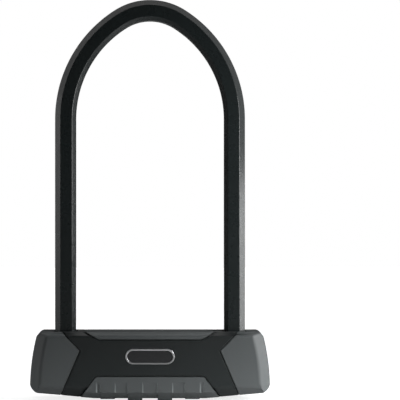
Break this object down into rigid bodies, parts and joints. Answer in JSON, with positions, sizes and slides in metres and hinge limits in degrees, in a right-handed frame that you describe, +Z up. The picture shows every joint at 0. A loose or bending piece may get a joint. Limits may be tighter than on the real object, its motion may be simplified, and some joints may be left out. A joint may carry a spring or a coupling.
{
  "type": "u lock",
  "caption": "Bicycle U-lock: a coated square-bar shackle drops into a crossbar lock body, where a key cylinder throws a bolt into each foot.",
  "frame": {"origin": "middle of the lock on the plane that its two middle grip pads stand on", "axes": "+X along the crossbar to the right, +Y from the front (badge side) to the back, +Z up to the crown of the shackle"},
  "size_m": [0.1734, 0.0423, 0.2904],
  "materials": {
    "vinyl_coat": "satin black vinyl with crisp flats",
    "hardened_steel": "hardened steel, ground",
    "carrier_alloy": "die-cast alloy",
    "cover_grey": "fine moulded grain, dark grey",
    "band_black": "soft-touch black",
    "badge_chrome": "bright plated rim",
    "badge_field": "smooth black field",
    "seal_rubber": "matt black rubber",
    "cylinder_brass": "turned brass",
    "key_face_steel": "stainless, turned"
  },
  "bodies": {
    "lock_body": {"steel_case": "hardened_steel", "left_end_plug": "hardened_steel", "right_end_plug": "hardened_steel", "front_carrier": "carrier_alloy", "rear_carrier": "carrier_alloy", "left_end_cap": "cover_grey", "right_end_cap": "cover_grey", "front_cover": "band_black", "rear_cover": "band_black", "top_panel": "cover_grey", "grip_panel": "cover_grey", "badge_rim": "badge_chrome", "badge_plate": "badge_field", "left_leg_seal": "seal_rubber", "right_leg_seal": "seal_rubber", "left_foot_bumper": "seal_rubber", "right_foot_bumper": "seal_rubber", "cylinder_housing": "cylinder_brass", "housing_pins": "hardened_steel"},
    "shackle_set": {"shackle_bar": "hardened_steel", "shackle_sleeve": "vinyl_coat"},
    "key_core": {"core_face": "key_face_steel", "core_barrel": "cylinder_brass", "drill_guard": "hardened_steel", "code_discs": "cylinder_brass", "disc_spacers": "key_face_steel", "sidebar": "key_face_steel", "drive_cam": "hardened_steel", "cam_screw": "key_face_steel", "shutter_pin": "key_face_steel", "shutter_spring": "key_face_steel"},
    "shutter": {"keyhole_shutter": "key_face_steel"},
    "left_bolt_set": {"left_bolt": "hardened_steel", "left_bolt_pin": "key_face_steel"},
    "right_bolt_set": {"right_bolt": "hardened_steel", "right_bolt_pin": "key_face_steel"}
  },
  "joints": [
    {"name": "shackle_slide", "type": "slide", "parent": "lock_body", "child": "shackle_set", "axis": [0, 0, 1], "range_m": [0, 0.045]},
    {"name": "core_turn", "type": "hinge", "parent": "lock_body", "child": "key_core", "pos_m": [0, 0, 0.016], "axis": [0, 0, 1], "range_deg": [0, 90]},
    {"name": "left_bolt_slide", "type": "slide", "parent": "lock_body", "child": "left_bolt_set", "axis": [-1, 0, 0], "range_m": [0, 0.0052]},
    {"name": "right_bolt_slide", "type": "slide", "parent": "lock_body", "child": "right_bolt_set", "axis": [1, 0, 0], "range_m": [0, 0.0052]},
    {"name": "shutter_swing", "type": "hinge", "parent": "key_core", "child": "shutter", "pos_m": [-0.0023, 0, 0.00675], "axis": [0, -1, 0], "range_deg": [0, 90], "stiffness_Nm_per_rad": 0.0005, "springref_deg": -22.92}
  ],
  "couplings": [
    {"joint": "core_turn", "follows": "left_bolt_slide", "rad_per_m": 302.07},
    {"joint": "right_bolt_slide", "follows": "left_bolt_slide", "ratio": 1}
  ]
}
